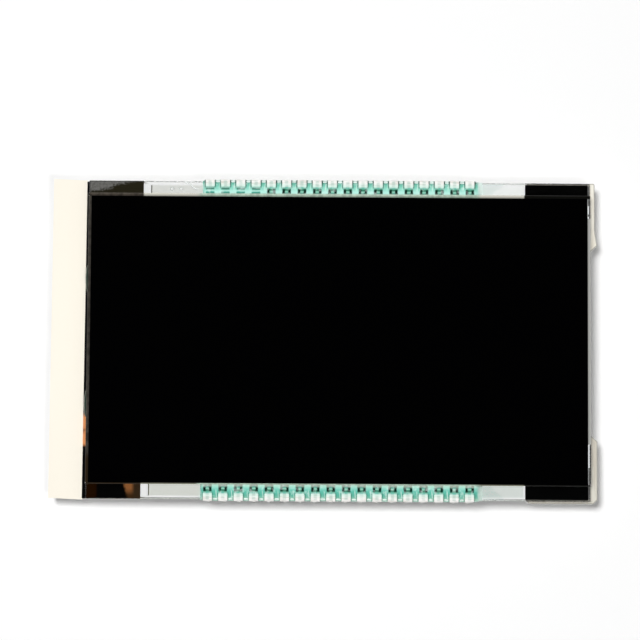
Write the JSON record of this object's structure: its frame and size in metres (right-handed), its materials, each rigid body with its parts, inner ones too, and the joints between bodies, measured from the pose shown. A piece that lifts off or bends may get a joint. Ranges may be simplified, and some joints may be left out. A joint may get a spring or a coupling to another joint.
{
  "type": "segment lcd display",
  "caption": "Black-faced segment display module: a sealed glass cell with clip pins set in teal adhesive along both long edges, lying on an edge-lit backlight with a cream film over its end.",
  "frame": {"origin": "below the middle of the outer box, in the plane of the pin tips", "axes": "+X along the rows of pins, away from the LED end; +Y across the rows; +Z out of the viewing face"},
  "size_m": [0.091, 0.0536, 0.0104],
  "materials": {
    "cell_glass": "polished float glass",
    "polarizer_film": "smooth black film",
    "rear_polarizer_film": "smooth dark film",
    "seal_resin": "dull epoxy",
    "liquid_crystal": "fluid layer",
    "port_sealant": "cured clear-dark bead",
    "conductor_film": "transparent conductive coating",
    "tin_plate": "bright tin plating",
    "pin_adhesive": "cured translucent teal resin",
    "guide_resin": "clear moulded plastic over white",
    "diffuser_film": "white satin film",
    "reflector_film": "white film",
    "black_tape": "black film tape",
    "cream_film": "cream satin film",
    "board_laminate": "amber laminate with copper",
    "led_body": "white case with phosphor window"
  },
  "bodies": {
    "root": {"adhesive_bottom": "pin_adhesive", "adhesive_top": "pin_adhesive", "backlight_pin_anode": "tin_plate", "backlight_pin_cathode": "tin_plate", "cell_seal": "seal_resin", "corner_tapes": "black_tape", "diffuser_film": "diffuser_film", "front_glass": "cell_glass", "front_polarizer": "polarizer_film", "led_1": "led_body", "led_2": "led_body", "led_3": "led_body", "led_4": "led_body", "led_board": "board_laminate", "led_cover": "cream_film", "light_guide": "guide_resin", "liquid_crystal": "liquid_crystal", "pin_bottom_01": "tin_plate", "pin_bottom_02": "tin_plate", "pin_bottom_03": "tin_plate", "pin_bottom_04": "tin_plate", "pin_bottom_05": "tin_plate", "pin_bottom_06": "tin_plate", "pin_bottom_07": "tin_plate", "pin_bottom_08": "tin_plate", "pin_bottom_09": "tin_plate", "pin_bottom_10": "tin_plate", "pin_bottom_11": "tin_plate", "pin_bottom_12": "tin_plate", "pin_bottom_13": "tin_plate", "pin_bottom_14": "tin_plate", "pin_bottom_15": "tin_plate", "pin_bottom_16": "tin_plate", "pin_bottom_17": "tin_plate", "pin_bottom_18": "tin_plate", "pin_top_01": "tin_plate", "pin_top_02": "tin_plate", "pin_top_03": "tin_plate", "pin_top_04": "tin_plate", "pin_top_05": "tin_plate", "pin_top_06": "tin_plate", "pin_top_07": "tin_plate", "pin_top_08": "tin_plate", "pin_top_09": "tin_plate", "pin_top_10": "tin_plate", "pin_top_11": "tin_plate", "pin_top_12": "tin_plate", "pin_top_13": "tin_plate", "pin_top_14": "tin_plate", "pin_top_15": "tin_plate", "pin_top_16": "tin_plate", "pin_top_17": "tin_plate", "pin_top_18": "tin_plate", "port_plug_lower": "port_sealant", "port_plug_upper": "port_sealant", "rear_glass": "cell_glass", "rear_polarizer": "rear_polarizer_film", "reflector_film": "reflector_film", "segment_electrodes": "conductor_film"}
  },
  "joints": []
}
